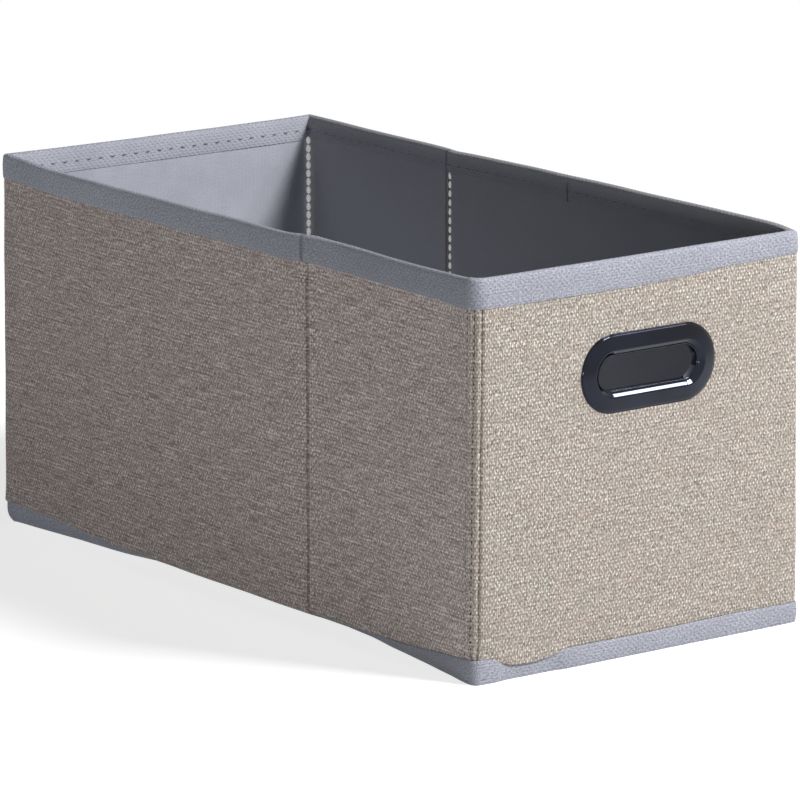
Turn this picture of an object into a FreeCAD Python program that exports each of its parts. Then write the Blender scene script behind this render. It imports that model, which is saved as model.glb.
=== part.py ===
import FreeCAD, Part
import os
import Sketcher

# Foldable fabric shelf bin: a sewn box of linen-look cloth over six stiff boards, lined with
# non-woven cloth, bound at the rim, with a metal-ringed grip hole in its front end.
# Millimetres, +Z up. The origin is the middle of the underside and the front end faces -Y.

os.makedirs("parts", exist_ok=True)
doc = FreeCAD.newDocument("ShelfBin")

driving = {
    # The box over its rim binding
    "box_width": 150,
    "box_length": 306,
    "box_height": 149,
    # The cloth, board and binding that make up a wall, from outside to inside
    "binding_thick": 0.4,
    "cloth_thick": 0.7,
    "board_thick": 1.5,
    "lining_thick": 0.4,
    # Where each long side folds: from the nearer end's outer face
    "crease_from_end": 100,
    # The slit between the pieces of two walls, and how far a fold line stands off them
    "fold_slit": 0.3,
    "fold_standoff": 0.3,
    # How far the boards stop short of a crease, a corner, the rim and the bottom seam
    "board_short_of_crease": 2.0,
    "board_short_of_corner": 3.0,
    "board_short_of_rim": 1.0,
    "board_above_seam": 0.5,
    # Rim binding, bottom hem and the rounding of the sewn corners
    "binding_height": 11.5,
    "binding_edge_round": 0.4,
    "hem_height": 9.3,
    "sewn_corner_round": 0.6,
    # Bottom panel with its turned-up lip
    "floor_thick": 0.6,
    "lip_height": 3.5,
    "lip_thick": 2.5,
    "tray_corner_round": 4,
    "tray_edge_round": 1.2,
    # Clearance of what lies or moves over the bottom panel
    "loose_clearance": 0.3,
    # Loose base board in its sewn cover, and how far it stays off the walls
    "base_side_clearance": 6.6,
    "base_end_clearance": 5.6,
    "base_board_thick": 2.0,
    "base_cover_thick": 0.3,
    "base_corner_round": 3,
    # Seam ridge down the front face, beside its left corner
    "ridge_width": 3.0,
    "ridge_rise": 0.4,
    "ridge_from_corner": 0.6,
    # Grip hole: its middle from the box's middle and below the rim, and half its straight part
    "grip_offset": 4.0,
    "grip_below_rim": 42.3,
    "grip_straight_half": 16.5,
    "grip_hole_clearance": 0.4,
    # Grip ring: pressed sheet with a domed flange, a rolled mouth, a barrel and a crimped lip
    "flange_radius": 14.25,
    "flange_rise": 2.2,
    "crest_radius": 9.6,
    "throat_radius": 6.8,
    "sheet_thick": 0.5,
    "crimp_round": 1.0,
    "crimp_reach": 9.3,
    # Back washer that the crimped lip holds
    "washer_radius": 13.2,
    "washer_thick": 0.7,
    "washer_edge_round": 0.3,
    "washer_bore_clearance": 0.3,
}

sheet = doc.addObject("Spreadsheet::Sheet", "sizes")
for row, (word, value) in enumerate(driving.items(), start=1):
    sheet.set(f"A{row}", word)
    sheet.set(f"B{row}", str(value))
    sheet.setAlias(f"B{row}", word)
doc.recompute()


def size(word):
    # The present value of a cell
    return float(sheet.get(word))


def cell(word):
    # The cell as it is named in an expression
    return f"sizes.{word}"


# Sums that several pieces share, as expressions
wallStack = "(sizes.cloth_thick + sizes.board_thick + sizes.lining_thick)"
boundStack = f"({wallStack} + 2 * sizes.binding_thick)"
foldLine = f"({boundStack} + sizes.fold_standoff)"
halfSlit = "sizes.fold_slit / 2"
wallFoot = "(sizes.lip_height + sizes.loose_clearance)"
clothTop = "(sizes.box_height - sizes.binding_thick)"
gripDepth = f"(sizes.flange_rise + {wallStack} + sizes.washer_thick + sizes.sheet_thick)"
gripHeight = "(sizes.box_height - sizes.grip_below_rim)"
baseWide = f"(sizes.box_width - 2 * ({boundStack} + sizes.base_side_clearance))"
baseLong = f"(sizes.box_length - 2 * ({boundStack} + sizes.base_end_clearance))"

bodies = []


def newBody(label):
    body = doc.addObject("PartDesign::Body", label)
    body.Label = label
    bodies.append(body)
    return body


def place(body, corner, turned=False):
    # A turned piece is the same piece half a turn round the middle of the box
    angle = 180 if turned else 0
    body.Placement = FreeCAD.Placement(FreeCAD.Vector(0, 0, 0),
                                       FreeCAD.Rotation(FreeCAD.Vector(0, 0, 1), angle))
    for axis, expression in zip("xyz", corner):
        sign = "-" if turned and axis != "z" else ""
        body.setExpression(f"Placement.Base.{axis}", f"{sign}({expression})")


def plane(body, role):
    return next(item for item in body.Origin.OriginFeatures if item.Role == role)


def newSketch(body, name, role, offset=None):
    sketch = body.newObject("Sketcher::SketchObject", name)
    sketch.AttachmentSupport = [(plane(body, role), "")]
    sketch.MapMode = "FlatFace"
    for axis, expression in (offset or {}).items():
        sketch.setExpression(f"AttachmentOffset.Base.{axis}", expression)
    return sketch


def measure(sketch, name, expression, constraint, *where):
    # A named dimension of the sketch, bound to the sizes
    index = sketch.addConstraint(Sketcher.Constraint(constraint, *where))
    sketch.renameConstraint(index, name)
    sketch.setExpression(f"Constraints.{name}", expression)


def value(expression):
    return float(sheet.evalExpression(expression))


def rectangle(sketch, width, depth):
    # From the sketch's own corner, so that both sizes are positive
    wide, deep = value(width), value(depth)
    points = [FreeCAD.Vector(0, 0, 0), FreeCAD.Vector(wide, 0, 0),
              FreeCAD.Vector(wide, deep, 0), FreeCAD.Vector(0, deep, 0)]
    for start, end in zip(points, points[1:] + points[:1]):
        sketch.addGeometry(Part.LineSegment(start, end))
    for line in range(4):
        sketch.addConstraint(Sketcher.Constraint("Coincident", line, 2, (line + 1) % 4, 1))
    sketch.addConstraint(Sketcher.Constraint("Horizontal", 0))
    sketch.addConstraint(Sketcher.Constraint("Vertical", 1))
    sketch.addConstraint(Sketcher.Constraint("Horizontal", 2))
    sketch.addConstraint(Sketcher.Constraint("Vertical", 3))
    sketch.addConstraint(Sketcher.Constraint("Coincident", 0, 1, -1, 1))
    measure(sketch, "width", width, "DistanceX", 0, 1, 0, 2, wide)
    measure(sketch, "depth", depth, "DistanceY", 1, 1, 1, 2, deep)


def pad(body, name, sketch, length):
    feature = body.newObject("PartDesign::Pad", name)
    feature.Profile = sketch
    feature.setExpression("Length", length)
    sketch.Visibility = False
    doc.recompute()
    return feature


def pocket(body, name, sketch, length=None, reversed=False):
    before = body.Shape.Volume
    feature = body.newObject("PartDesign::Pocket", name)
    feature.Profile = sketch
    feature.Reversed = reversed
    if length is None:
        feature.Type = "ThroughAll"
        feature.Midplane = True
    else:
        feature.setExpression("Length", length)
    doc.recompute()
    if body.Shape.Volume >= before:
        raise RuntimeError(f"{body.Label}: {name} cuts nothing")
    return feature


def roundEdges(body, name, radius, chosen):
    # Rounds the edges of the body's last feature that the test picks out
    base = body.Tip
    names = [f"Edge{number}" for number, edge in enumerate(base.Shape.Edges, start=1) if chosen(edge)]
    if not names:
        raise RuntimeError(f"{body.Label}: {name} finds no edge")
    feature = body.newObject("PartDesign::Fillet", name)
    feature.Base = (base, names)
    feature.setExpression("Radius", radius)
    doc.recompute()
    return feature


def alongAxis(edge, axis):
    # True for a straight edge along x, y or z
    box = edge.BoundBox
    spans = {"x": box.XLength, "y": box.YLength, "z": box.ZLength}
    return all(span < 1e-6 for key, span in spans.items() if key != axis)


def plate(label, corner, extents, turned=False):
    body = newBody(label)
    sketch = newSketch(body, "Outline", "XY_Plane")
    rectangle(sketch, extents[0], extents[1])
    pad(body, "Sheet", sketch, extents[2])
    place(body, corner, turned)
    return body


def sideWall(name, start, length, atFront, atRear, turned):
    # One half of a long side: hem, outer cloth, board, lining and the binding over its rim.
    # It runs from start towards the rear, and atFront and atRear say how short its board stops.
    outside = "-sizes.box_width / 2"
    skin = f"{outside} + sizes.binding_thick"
    core = f"{skin} + sizes.cloth_thick"
    inside = f"{core} + sizes.board_thick"
    plate(f"{name}_bottom_hem", (skin, start, wallFoot),
          (cell("cloth_thick"), length, f"sizes.hem_height - {wallFoot}"), turned)
    plate(f"{name}_outer_cloth", (skin, start, cell("hem_height")),
          (cell("cloth_thick"), length, f"{clothTop} - sizes.hem_height"), turned)
    plate(f"{name}_board", (core, f"{start} + {atFront}", f"{wallFoot} + sizes.board_above_seam"),
          (cell("board_thick"), f"{length} - {atFront} - {atRear}",
           f"{clothTop} - sizes.board_short_of_rim - {wallFoot} - sizes.board_above_seam"), turned)
    plate(f"{name}_lining", (inside, start, wallFoot),
          (cell("lining_thick"), length, f"{clothTop} - {wallFoot}"), turned)

    binding = newBody(f"{name}_rim_binding")
    outline = newSketch(binding, "Outline", "XY_Plane")
    rectangle(outline, boundStack, length)
    pad(binding, "Strip", outline, cell("binding_height"))
    fold = newSketch(binding, "Fold", "XY_Plane",
                     {"x": "sizes.binding_thick", "y": f"-({length}) / 2"})
    rectangle(fold, wallStack, f"2 * ({length})")
    pocket(binding, "Channel", fold, "sizes.binding_height - sizes.binding_thick", reversed=True)
    rim = size("binding_height")
    roundEdges(binding, "RolledEdges", cell("binding_edge_round"),
               lambda edge: alongAxis(edge, "y") and abs(edge.BoundBox.ZMax - rim) < 1e-6)
    place(binding, (outside, start, "sizes.box_height - sizes.binding_height"), turned)


def wrappedSkin(label, foot, height, turned):
    # Cloth that covers an end wall and turns both corners
    body = newBody(label)
    wide = "(sizes.box_width - 2 * sizes.binding_thick)"
    outline = newSketch(body, "Outline", "XY_Plane")
    rectangle(outline, wide, wallStack)
    pad(body, "Block", outline, height)
    hollow = newSketch(body, "Hollow", "XY_Plane",
                       {"x": "sizes.cloth_thick", "y": "sizes.cloth_thick"})
    rectangle(hollow, f"{wide} - 2 * sizes.cloth_thick", wallStack)
    pocket(body, "Inside", hollow, height, reversed=True)
    roundEdges(body, "SewnCorners", cell("sewn_corner_round"),
               lambda edge: alongAxis(edge, "z") and edge.BoundBox.YMax < 1e-6)
    place(body, (f"-{wide} / 2", "-sizes.box_length / 2 + sizes.binding_thick", foot), turned)
    return body


def endWall(name, turned):
    skin = "-sizes.box_length / 2 + sizes.binding_thick"
    core = f"{skin} + sizes.cloth_thick"
    inside = f"{core} + sizes.board_thick"
    wide = "(sizes.box_width - 2 * sizes.binding_thick)"
    innerWide = f"({wide} - 2 * sizes.cloth_thick)"
    boardWide = f"({innerWide} - 2 * sizes.board_short_of_corner)"
    hem = wrappedSkin(f"{name}_bottom_hem", wallFoot, f"sizes.hem_height - {wallFoot}", turned)
    cloth = wrappedSkin(f"{name}_outer_cloth", cell("hem_height"),
                        f"{clothTop} - sizes.hem_height", turned)
    board = plate(f"{name}_board", (f"-{boardWide} / 2", core, f"{wallFoot} + sizes.board_above_seam"),
                  (boardWide, cell("board_thick"),
                   f"{clothTop} - sizes.board_short_of_rim - {wallFoot} - sizes.board_above_seam"),
                  turned)
    lining = plate(f"{name}_lining", (f"-{innerWide} / 2", inside, wallFoot),
                   (innerWide, cell("lining_thick"), f"{clothTop} - {wallFoot}"), turned)

    binding = newBody(f"{name}_rim_binding")
    outline = newSketch(binding, "Outline", "XY_Plane")
    rectangle(outline, cell("box_width"), boundStack)
    pad(binding, "Strip", outline, cell("binding_height"))
    fold = newSketch(binding, "Fold", "XY_Plane",
                     {"x": "sizes.binding_thick", "y": "sizes.binding_thick"})
    rectangle(fold, wide, wallStack)
    pocket(binding, "Channel", fold, "sizes.binding_height - sizes.binding_thick", reversed=True)
    rim = size("binding_height")
    roundEdges(binding, "RolledEdges", cell("binding_edge_round"),
               lambda edge: (abs(edge.BoundBox.ZMin - rim) < 1e-6 and not alongAxis(edge, "z"))
               or (alongAxis(edge, "z") and edge.BoundBox.YMax < 1e-6))
    place(binding, ("-sizes.box_width / 2", "-sizes.box_length / 2",
                    "sizes.box_height - sizes.binding_height"), turned)
    return hem, cloth, board, lining


def cutGrip(body, across, upTo):
    # The slot through one layer of the front end, for the barrel of the grip ring
    sketch = newSketch(body, "GripSlot", "XZ_Plane",
                       {"x": across, "y": upTo})
    radius = "(sizes.throat_radius + sizes.sheet_thick + sizes.grip_hole_clearance)"
    reach, half = value(radius), size("grip_straight_half")
    right, left = FreeCAD.Vector(half, 0, 0), FreeCAD.Vector(-half, 0, 0)
    normal = FreeCAD.Vector(0, 0, 1)
    quarter = 1.5707963267948966
    sketch.addGeometry(Part.ArcOfCircle(Part.Circle(right, normal, reach), -quarter, quarter))
    sketch.addGeometry(Part.LineSegment(FreeCAD.Vector(half, reach, 0), FreeCAD.Vector(-half, reach, 0)))
    sketch.addGeometry(Part.ArcOfCircle(Part.Circle(left, normal, reach), quarter, 3 * quarter))
    sketch.addGeometry(Part.LineSegment(FreeCAD.Vector(-half, -reach, 0), FreeCAD.Vector(half, -reach, 0)))
    for first, second in ((0, 1), (1, 2), (2, 3), (3, 0)):
        sketch.addConstraint(Sketcher.Constraint("Tangent", first, 2, second, 1))
    sketch.addConstraint(Sketcher.Constraint("Horizontal", 1))
    sketch.addConstraint(Sketcher.Constraint("Symmetric", 0, 3, 2, 3, -1, 1))
    measure(sketch, "radius", radius, "Radius", 0, reach)
    measure(sketch, "spread", "2 * sizes.grip_straight_half", "DistanceX", 2, 3, 0, 3, 2 * half)
    pocket(body, "GripHole", sketch)


def ringAround(body, drawProfile):
    # A ring whose section goes round a slot: a straight run, then a half turn, and both again
    run = newSketch(body, "RunSection", "YZ_Plane")
    drawProfile(run)
    straight = body.newObject("PartDesign::Pad", "StraightRun")
    straight.Profile = run
    straight.Midplane = True
    straight.setExpression("Length", "2 * sizes.grip_straight_half")
    doc.recompute()
    turn = newSketch(body, "TurnSection", "YZ_Plane", {"z": "sizes.grip_straight_half"})
    drawProfile(turn)
    end = body.newObject("PartDesign::Revolution", "RoundEnd")
    end.Profile = turn
    end.ReferenceAxis = (turn, ["H_Axis"])
    end.Angle = 180
    doc.recompute()
    if body.Shape.BoundBox.XMax < size("grip_straight_half") + size("throat_radius"):
        end.Reversed = True
        doc.recompute()
    pattern = body.newObject("PartDesign::PolarPattern", "OtherHalf")
    pattern.Originals = [straight, end]
    pattern.Axis = (plane(body, "Y_Axis"), [""])
    pattern.Angle = 360
    pattern.Occurrences = 2
    body.Tip = pattern
    doc.recompute()


def bend(start, end, radius):
    # The shorter arc between two points, bulging to the right of its way where radius is positive
    chord = end - start
    rise = abs(radius) - (radius ** 2 - chord.Length ** 2 / 4) ** 0.5
    aside = FreeCAD.Vector(chord.y, -chord.x, 0).normalize()
    return Part.Arc(start, (start + end) / 2 + aside * (rise if radius > 0 else -rise), end)


def gripRingSection(sketch):
    # From the rim of the flange over its crest, down the rolled mouth and the barrel, out along
    # the crimped lip, and back inside at one sheet's thickness. Each row has a point, as depth
    # from the crest and distance from the middle, then the bend to the next point and its side.
    rise, gauge, curl = "sizes.flange_rise", "sizes.sheet_thick", "sizes.crimp_round"
    roll = "(sizes.crest_radius - sizes.throat_radius)"
    dome = f"(({rise} ^ 2 + (sizes.flange_radius - sizes.crest_radius) ^ 2) / (2 * {rise}))"
    innerRim = f"(sizes.crest_radius + sqrt(({dome} - {gauge}) ^ 2 - ({dome} - {rise}) ^ 2))"
    throat, outer = "sizes.throat_radius", "(sizes.throat_radius + sizes.sheet_thick)"
    foot = f"({gripDepth} - {curl})"
    rows = [
        ("rim", rise, "sizes.flange_radius", dome, 1),
        ("crest", "0", "sizes.crest_radius", roll, 1),
        ("mouth", roll, throat, None, 0),
        ("bendStart", foot, throat, curl, 1),
        ("bendEnd", gripDepth, f"{throat} + {curl}", None, 0),
        ("lip", gripDepth, "sizes.crimp_reach", None, 0),
        ("lipBack", f"{gripDepth} - {gauge}", "sizes.crimp_reach", None, 0),
        ("backBendEnd", f"{gripDepth} - {gauge}", f"{throat} + {curl}", f"{curl} - {gauge}", -1),
        ("backBendStart", foot, outer, None, 0),
        ("barrelBack", roll, outer, f"{roll} - {gauge}", -1),
        ("crestBack", gauge, "sizes.crest_radius", f"{dome} - {gauge}", -1),
        ("rimBack", rise, innerRim, None, 0),
    ]
    points = [FreeCAD.Vector(value(row[1]), value(row[2]), 0) for row in rows]
    ends = []
    for row, start, end in zip(rows, points, points[1:] + points[:1]):
        shape = bend(start, end, row[4] * value(row[3])) if row[3] else Part.LineSegment(start, end)
        number = sketch.addGeometry(shape)
        # The sketch keeps an arc anticlockwise, so its first point may be the later one
        kept = sketch.getPoint(number, 1)
        ends.append((1, 2) if kept.distanceToPoint(start) < 1e-6 else (2, 1))
    for first in range(len(rows)):
        second = (first + 1) % len(rows)
        sketch.addConstraint(Sketcher.Constraint("Coincident", first, ends[first][1],
                                                 second, ends[second][0]))
    for number, (row, point) in enumerate(zip(rows, points)):
        name, depth, distance, radius, side = row
        at = ends[number][0]
        if depth == "0":
            sketch.addConstraint(Sketcher.Constraint("PointOnObject", number, at, -2))
        else:
            measure(sketch, f"{name}Depth", depth, "DistanceX", -1, 1, number, at, point.x)
        measure(sketch, f"{name}Out", distance, "DistanceY", -1, 1, number, at, point.y)
        if radius:
            measure(sketch, f"{name}Radius", radius, "Radius", number, value(radius))


def washerSection(sketch):
    # A flat ring against the lining, clear of the barrel
    inner = "(sizes.throat_radius + sizes.crimp_round + sizes.washer_bore_clearance)"
    sketch.setExpression("AttachmentOffset.Base.x", f"sizes.flange_rise + {wallStack}")
    low, high, gauge = value(inner), size("washer_radius"), size("washer_thick")
    points = [FreeCAD.Vector(0, low, 0), FreeCAD.Vector(gauge, low, 0),
              FreeCAD.Vector(gauge, high, 0), FreeCAD.Vector(0, high, 0)]
    for start, end in zip(points, points[1:] + points[:1]):
        sketch.addGeometry(Part.LineSegment(start, end))
    for line in range(4):
        sketch.addConstraint(Sketcher.Constraint("Coincident", line, 2, (line + 1) % 4, 1))
    sketch.addConstraint(Sketcher.Constraint("Horizontal", 0))
    sketch.addConstraint(Sketcher.Constraint("Vertical", 1))
    sketch.addConstraint(Sketcher.Constraint("Horizontal", 2))
    sketch.addConstraint(Sketcher.Constraint("Vertical", 3))
    sketch.addConstraint(Sketcher.Constraint("PointOnObject", 0, 1, -2))
    measure(sketch, "bore", inner, "DistanceY", -1, 1, 0, 1, low)
    measure(sketch, "edge", cell("washer_radius"), "DistanceY", -1, 1, 3, 1, high)
    measure(sketch, "gauge", cell("washer_thick"), "DistanceX", 0, 1, 0, 2, gauge)


# Bottom panel: one cloth whose edge turns up into a low lip all round
tray = newBody("bottom_panel")
trayOutline = newSketch(tray, "Outline", "XY_Plane")
rectangle(trayOutline, cell("box_width"), cell("box_length"))
pad(tray, "Panel", trayOutline, cell("lip_height"))
roundEdges(tray, "Corners", cell("tray_corner_round"), lambda edge: alongAxis(edge, "z"))
roundEdges(tray, "TurnedEdge", cell("tray_edge_round"), lambda edge: edge.BoundBox.ZMax < 1e-6)
trayInside = newSketch(tray, "Inside", "XY_Plane",
                       {"x": "sizes.lip_thick", "y": "sizes.lip_thick", "z": "sizes.floor_thick"})
rectangle(trayInside, "sizes.box_width - 2 * sizes.lip_thick", "sizes.box_length - 2 * sizes.lip_thick")
pocket(tray, "Hollow", trayInside, cell("lip_height"), reversed=True)
place(tray, ("-sizes.box_width / 2", "-sizes.box_length / 2", "0"))

# Loose base board, and the sewn cover that it slides into from the rear
baseFoot = "(sizes.floor_thick + sizes.loose_clearance)"
base = plate("base_board", (f"-{baseWide} / 2", f"-{baseLong} / 2",
                            f"{baseFoot} + sizes.base_cover_thick"),
             (baseWide, baseLong, cell("base_board_thick")))
roundEdges(base, "Corners", cell("base_corner_round"),
           lambda edge: alongAxis(edge, "z") and edge.BoundBox.YMin > 1e-6)
cover = newBody("base_board_cover")
coverWide = f"({baseWide} + 2 * sizes.base_cover_thick)"
coverOutline = newSketch(cover, "Outline", "XY_Plane")
rectangle(coverOutline, coverWide, f"{baseLong} + sizes.base_cover_thick")
pad(cover, "Block", coverOutline, "sizes.base_board_thick + 2 * sizes.base_cover_thick")
mouth = newSketch(cover, "Mouth", "XY_Plane",
                  {"x": "sizes.base_cover_thick", "y": "sizes.base_cover_thick", "z": "sizes.base_cover_thick"})
rectangle(mouth, baseWide, f"2 * {baseLong}")
pocket(cover, "Sleeve", mouth, cell("base_board_thick"), reversed=True)
place(cover, (f"-{coverWide} / 2", f"-{baseLong} / 2 - sizes.base_cover_thick", baseFoot))

# The four half sides. The box is the same after half a turn, so each is made once and turned.
endReach = f"(sizes.box_length / 2 - {foldLine} - {halfSlit})"
crease = "(sizes.box_length / 2 - sizes.crease_from_end)"
corner = "sizes.board_short_of_corner"
atCrease = "sizes.board_short_of_crease"
shortHalf = (f"-{endReach}", f"({endReach} - {crease} - {halfSlit})", corner, atCrease)
longHalf = (f"-{crease} + {halfSlit}", f"({endReach} + {crease} - {halfSlit})", atCrease, corner)
sideWall("left_front", *shortHalf, turned=False)
sideWall("left_rear", *longHalf, turned=False)
sideWall("right_rear", *shortHalf, turned=True)
sideWall("right_front", *longHalf, turned=True)

# The two ends. Only the front one has a grip.
endWall("rear_end", turned=True)
frontHem, frontCloth, frontBoard, frontLining = endWall("front_end", turned=False)
layers = ((frontCloth, "(sizes.box_width / 2 - sizes.binding_thick)", "sizes.hem_height"),
          (frontBoard, "(sizes.box_width / 2 - sizes.binding_thick - sizes.cloth_thick"
                       " - sizes.board_short_of_corner)", f"({wallFoot} + sizes.board_above_seam)"),
          (frontLining, "(sizes.box_width / 2 - sizes.binding_thick - sizes.cloth_thick)", wallFoot))
for layer, middle, foot in layers:
    cutGrip(layer, f"{middle} + sizes.grip_offset", f"{gripHeight} - {foot}")

# Seam ridge, a doubled strip of the outer cloth
ridge = plate("front_seam_ridge",
              ("-sizes.box_width / 2 + sizes.binding_thick + sizes.ridge_from_corner",
               "-sizes.box_length / 2 + sizes.binding_thick - sizes.ridge_rise", cell("hem_height")),
              (cell("ridge_width"), cell("ridge_rise"),
               "sizes.box_height - sizes.binding_height - sizes.hem_height"))
roundEdges(ridge, "SoftEdges", "0.9 * sizes.ridge_rise",
           lambda edge: alongAxis(edge, "z") and edge.BoundBox.YMax < 1e-6)

# Grip ring and its washer, made round their own middle and set against the cloth
gripMiddle = (cell("grip_offset"),
              "-sizes.box_length / 2 + sizes.binding_thick - sizes.flange_rise",
              gripHeight)
gripRing = newBody("grip_ring")
ringAround(gripRing, gripRingSection)
place(gripRing, gripMiddle)
washer = newBody("grip_washer")
ringAround(washer, washerSection)
innerEdge = value(f"sizes.flange_rise + {wallStack} + sizes.washer_thick")
roundEdges(washer, "SoftEdge", cell("washer_edge_round"),
           lambda edge: abs(edge.BoundBox.YMin - innerEdge) < 1e-6
           and edge.BoundBox.YLength < 1e-6
           and max(abs(edge.BoundBox.ZMin), abs(edge.BoundBox.ZMax)) > size("washer_radius") - 1e-3)
place(washer, gripMiddle)

doc.recompute()
faults = [item.Name for item in doc.Objects if "Invalid" in item.State or "Error" in item.State]
faults += [body.Label for body in bodies if body.Shape.isNull() or not body.Shape.isValid()]
faults += [body.Label for body in bodies if len(body.Shape.Solids) != 1]
if faults:
    raise RuntimeError("not sound: " + ", ".join(faults))
for body in bodies:
    body.Shape.exportStep(os.path.join("parts", body.Label + ".step"))
print(len(bodies), "pieces written")
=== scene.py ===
import math
import bpy
import bmesh
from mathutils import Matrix, Quaternion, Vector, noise


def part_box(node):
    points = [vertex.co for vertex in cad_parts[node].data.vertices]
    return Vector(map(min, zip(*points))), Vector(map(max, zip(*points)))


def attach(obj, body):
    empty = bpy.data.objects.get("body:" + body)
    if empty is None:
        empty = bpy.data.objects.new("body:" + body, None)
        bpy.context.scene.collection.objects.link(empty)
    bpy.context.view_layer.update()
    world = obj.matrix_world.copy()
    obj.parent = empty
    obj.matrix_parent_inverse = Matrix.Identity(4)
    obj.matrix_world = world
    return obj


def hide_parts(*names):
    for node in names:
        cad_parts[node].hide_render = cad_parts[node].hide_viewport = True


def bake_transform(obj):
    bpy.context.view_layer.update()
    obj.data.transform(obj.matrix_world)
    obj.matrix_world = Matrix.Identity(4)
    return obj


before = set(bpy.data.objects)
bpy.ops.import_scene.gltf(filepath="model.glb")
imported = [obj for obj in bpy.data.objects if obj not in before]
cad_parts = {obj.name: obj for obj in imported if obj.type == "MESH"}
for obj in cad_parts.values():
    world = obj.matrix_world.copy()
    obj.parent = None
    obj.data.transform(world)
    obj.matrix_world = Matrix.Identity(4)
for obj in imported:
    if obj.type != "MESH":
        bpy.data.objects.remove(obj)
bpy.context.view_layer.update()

mm = 0.001

# the bin's outer walls, read from the CAD boxes, in millimetres
binSize = {
    "halfWide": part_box("bottom_panel")[1].x / mm,
    "halfLong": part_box("bottom_panel")[1].y / mm,
    "rim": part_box("front_end_rim_binding")[1].z / mm,
    "cornerRound": {0: 5.5, 1: 1.6, 2: 1.6, 3: 1.4}, "tightBelow": 16.0, "tightShare": 0.42,
    "innerRound": 0.35,
    "crease": 53.0,
    "clothFoot": 3.6,
}

# what leans, bows and curls, for every layer alike; each pair is (place along the wall, amount)
sway = {
    "sideBow": [(-153, 0), (-134, 0.5), (-115, 0.5), (-96, 0.8), (-77, 1.6), (-60, 1.7), (-55, 1.3),
                (-52, 0.4), (-48, -0.9), (-43, -2.0), (-34, -2.4), (-3, -2.1), (24, -3.0), (45, -2.6),
                (61, -3.0), (77, -3.2), (94, -2.3), (110, -1.2), (127, -0.7), (143, -0.3), (153, 0)],
    "farBow": [(-153, 0), (-100, -0.8), (-40, -1.2), (20, -0.8), (44, 0.4), (53, 1.2), (62, 0.5),
               (100, -0.6), (153, 0)],
    "sideCurl": [(-153, 0.1), (-147, 0.2), (-134, 2.2), (-109, 6.0), (-83, 9.2), (-60, 11.8), (-45, 13.2),
                 (-6, 14.0), (19, 14.5), (45, 15.5), (68, 11.5), (83, 8.6), (115, 5.4), (140, 3.4), (153, 2.6)],
    "farCurl": [(-153, 0.2), (-130, 1.5), (-90, 6.0), (-40, 8.0), (40, 8.0), (90, 6.0), (153, 0.3)],
    "splay": {0: [(-75, 0), (-50, 0.8), (75, 1.5)], 1: [(-153, 0), (110, 0), (153, 1.4)],
              2: [(-75, 1.4), (-40, 0.4), (75, 0)], 3: [(-153, 1.5), (-110, 0.3), (153, 0)]},
    "rimDrop": {0: [(-75, 0), (-50, 0.2), (50, 0.2), (75, 0)],
                1: [(-153, 0), (-140, 0.6), (-60, 0.6), (-52, 0.2), (-46, 0.2), (-38, 0.6), (80, 0.6),
                    (100, 1.1), (122, 1.3), (140, 0.5), (153, 0)],
                2: [(-75, 0), (-30, 0.5), (50, 0.7), (75, 0.4)],
                3: [(-153, 0), (-140, -1.0), (-110, -0.8), (-60, -0.3), (-10, 0.1), (50, 0.6), (56, 0.4),
                    (100, 0.8), (153, 0.4)]},
    "endCurl": 0.1, "cornerCurl": 0.3, "rearCurl": 2.6, "curlTop": 7.0, "curlBend": 1.6, "endBend": 3.0,
    # how much of the bow the wall has at its foot, and of the linen's fold groove the hem has
    "footShare": 0.45, "hemShare": 0.8,
}


def alongTable(table, at):
    # a smooth line through the pairs of a table
    if at <= table[0][0]:
        return table[0][1]
    if at >= table[-1][0]:
        return table[-1][1]
    k = max(i for i in range(len(table) - 1) if table[i][0] <= at)
    (x0, y0), (x1, y1) = table[k], table[k + 1]
    wide = x1 - x0
    slopeIn = (y1 - table[k - 1][1]) / (x1 - table[k - 1][0]) if k > 0 else (y1 - y0) / wide
    slopeOut = (table[k + 2][1] - y0) / (table[k + 2][0] - x0) if k + 2 < len(table) else (y1 - y0) / wide
    t = (at - x0) / wide
    return ((2 * t ** 3 - 3 * t ** 2 + 1) * y0 + (t ** 3 - 2 * t ** 2 + t) * slopeIn * wide
            + (3 * t ** 2 - 2 * t ** 3) * y1 + (t ** 3 - t ** 2) * slopeOut * wide)


def straightTable(table, at):
    # straight lines through the pairs of a table
    if at <= table[0][0]:
        return table[0][1]
    for (x0, y0), (x1, y1) in zip(table, table[1:]):
        if at <= x1:
            return y0 + (y1 - y0) * (at - x0) / (x1 - x0)
    return table[-1][1]


def drift(x, y, z):
    # smooth noise about 0, the same at every run
    return noise.noise(Vector((x, y, z)))


def bump(at, centre, wide):
    # 1 at the centre, 0 beyond the width, smooth between
    share = min(abs(at - centre) / wide, 1)
    return (1 - share * share) ** 2


# Stations go round the walls clockwise, seen from above: wall 0 is the front, 1 the left side, 2 the rear,
# 3 the right side. A station is (wall, place) on a straight, or (wall, place, turn) in the corner that ends it.
wallEnds = {0: (1, -1), 1: (-1, 1), 2: (-1, 1), 3: (1, -1)}
outward = {0: (0, -1), 1: (-1, 0), 2: (0, 1), 3: (1, 0)}
cornerSigns = {0: (-1, -1), 1: (-1, 1), 2: (1, 1), 3: (1, -1)}


def halfRun(wall):
    return binSize["halfWide"] if wall in (0, 2) else binSize["halfLong"]


def placeOf(station):
    # where on its wall a station is; one in a corner counts as the wall's end
    return station[1] if len(station) == 2 else wallEnds[station[0]][1] * halfRun(station[0])


def sidePlace(station):
    # where on a side wall a station is, counted alike on both sides; none elsewhere
    if len(station) == 3 or station[0] not in (1, 3):
        return None
    return station[1] if station[0] == 1 else -station[1]


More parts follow.
